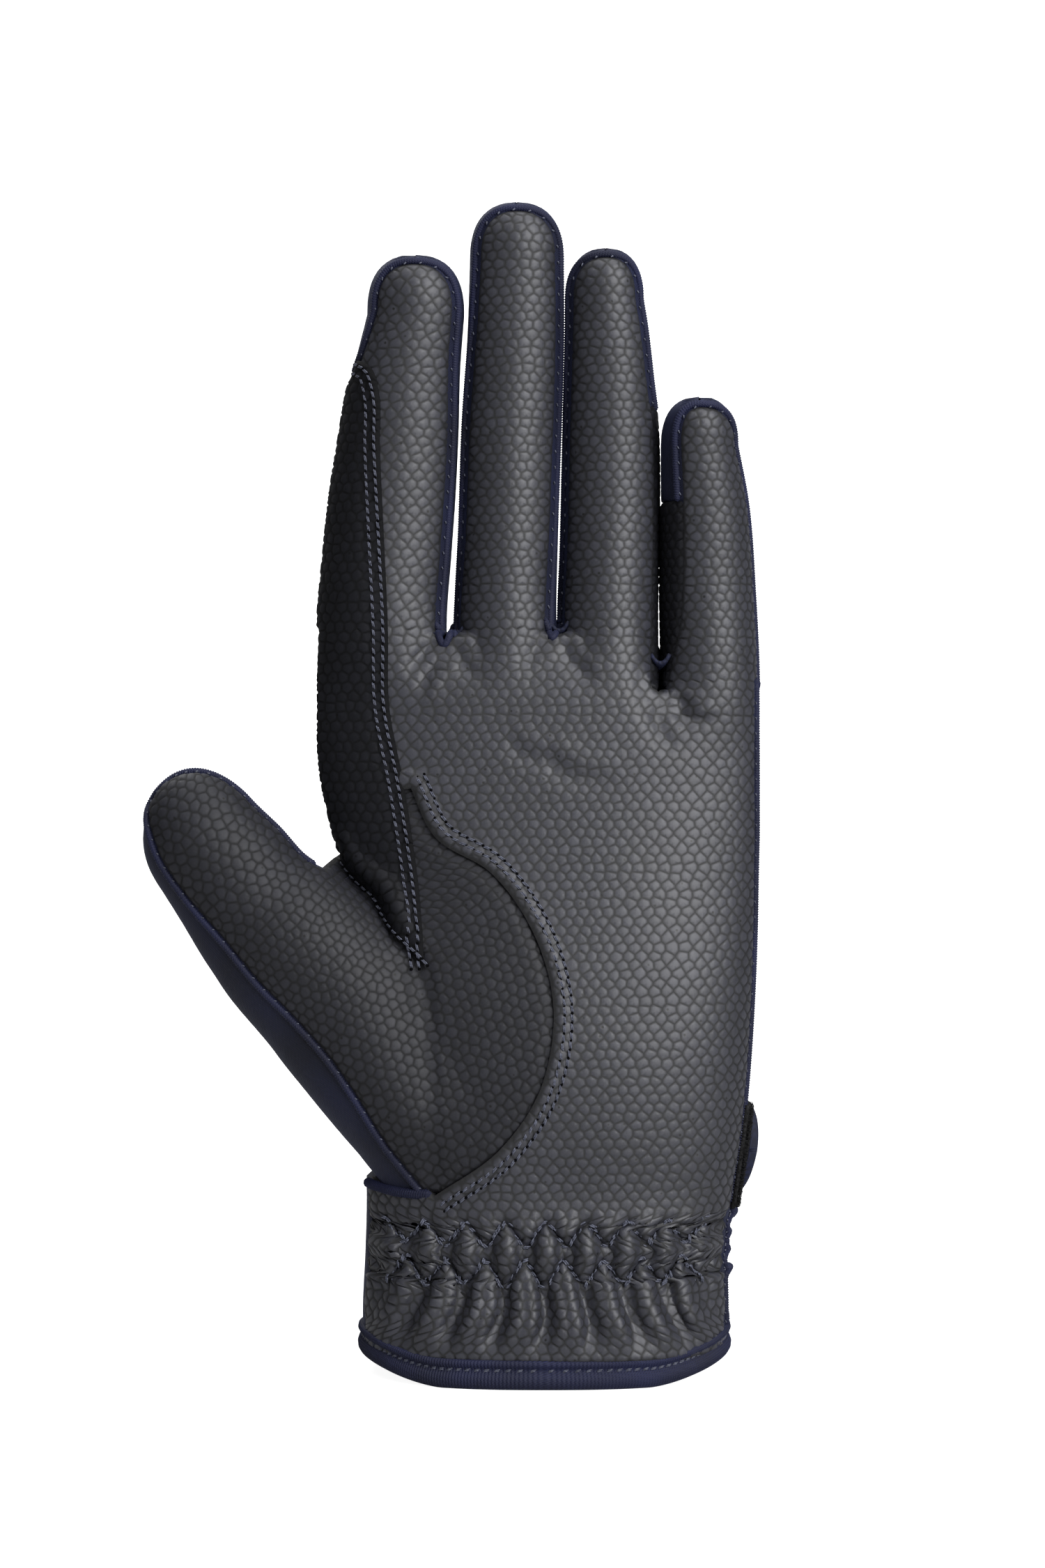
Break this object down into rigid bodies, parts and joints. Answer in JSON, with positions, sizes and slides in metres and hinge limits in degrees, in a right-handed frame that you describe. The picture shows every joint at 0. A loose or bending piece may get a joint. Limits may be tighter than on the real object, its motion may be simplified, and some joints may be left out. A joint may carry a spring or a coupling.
{
  "type": "riding glove",
  "caption": "Left-hand riding glove with scale-embossed leather palm and finger fronts, stretch fabric back, gathered wrist and a hook-and-loop wrist strap.",
  "frame": {"origin": "centre of the glove's box in plan, at the lowest edge of the hem", "axes": "+Z from the hem to the fingertips, -Y out of the palm, +X towards the little finger"},
  "size_m": [0.1236, 0.0452, 0.2345],
  "materials": {
    "leather": "satin charcoal synthetic leather, embossed with rounded reptile scales",
    "navy_fabric": "navy stretch knit with a soft sheen",
    "binding": "navy ribbed binding tape",
    "elastic": "matt black woven elastic",
    "loop": "black brushed loop pile",
    "hook": "black moulded hook tape",
    "label": "plain pale satin tape"
  },
  "bodies": {
    "hand": {"palm_panel": "leather", "thenar_panel": "leather", "index_patch_base": "leather", "back_panel": "navy_fabric", "thumb_gusset": "navy_fabric", "vent_binding": "binding", "web_index_middle": "navy_fabric", "web_middle_ring": "navy_fabric", "web_ring_little": "navy_fabric", "hem_binding": "binding", "wrist_elastic": "elastic", "care_label": "label", "loop_pad": "loop", "strap_base": "navy_fabric"},
    "index": {"index_front": "leather", "index_patch": "leather", "index_back": "navy_fabric", "index_fourchette": "navy_fabric"},
    "middle": {"middle_front": "leather", "middle_back": "navy_fabric", "middle_fourchette_radial": "navy_fabric", "middle_fourchette_ulnar": "navy_fabric"},
    "ring": {"ring_front": "leather", "ring_back": "navy_fabric", "ring_fourchette_radial": "navy_fabric", "ring_rein_guard": "leather", "ring_fourchette_ulnar": "navy_fabric"},
    "little": {"little_front": "leather", "little_back": "navy_fabric", "little_rein_guard": "leather", "little_fourchette_radial": "navy_fabric"},
    "thumb": {"thumb_front": "leather", "thumb_back": "navy_fabric"},
    "strap": {"strap": "navy_fabric", "hook_pad": "hook"}
  },
  "joints": [
    {"name": "index_flex", "type": "hinge", "parent": "hand", "child": "index", "pos_m": [-0.01454, -0.0113, 0.1495], "axis": [1, 0, 0], "range_deg": [0, 85]},
    {"name": "middle_flex", "type": "hinge", "parent": "hand", "child": "middle", "pos_m": [0.01056, -0.0113, 0.1495], "axis": [1, 0, 0], "range_deg": [0, 85]},
    {"name": "ring_flex", "type": "hinge", "parent": "hand", "child": "ring", "pos_m": [0.03116, -0.0113, 0.1495], "axis": [1, 0, 0], "range_deg": [0, 85]},
    {"name": "little_flex", "type": "hinge", "parent": "hand", "child": "little", "pos_m": [0.05146, -0.0106, 0.139], "axis": [1, 0, 0], "range_deg": [0, 85]},
    {"name": "thumb_flex", "type": "hinge", "parent": "hand", "child": "thumb", "pos_m": [-0.02244, -0.0204, 0.101], "axis": [0.7239, 0, 0.6899], "range_deg": [0, 55]},
    {"name": "strap_peel", "type": "hinge", "parent": "hand", "child": "strap", "pos_m": [0.00236, 0.0187, 0.0435], "axis": [0, 0, 1], "range_deg": [0, 110]}
  ]
}
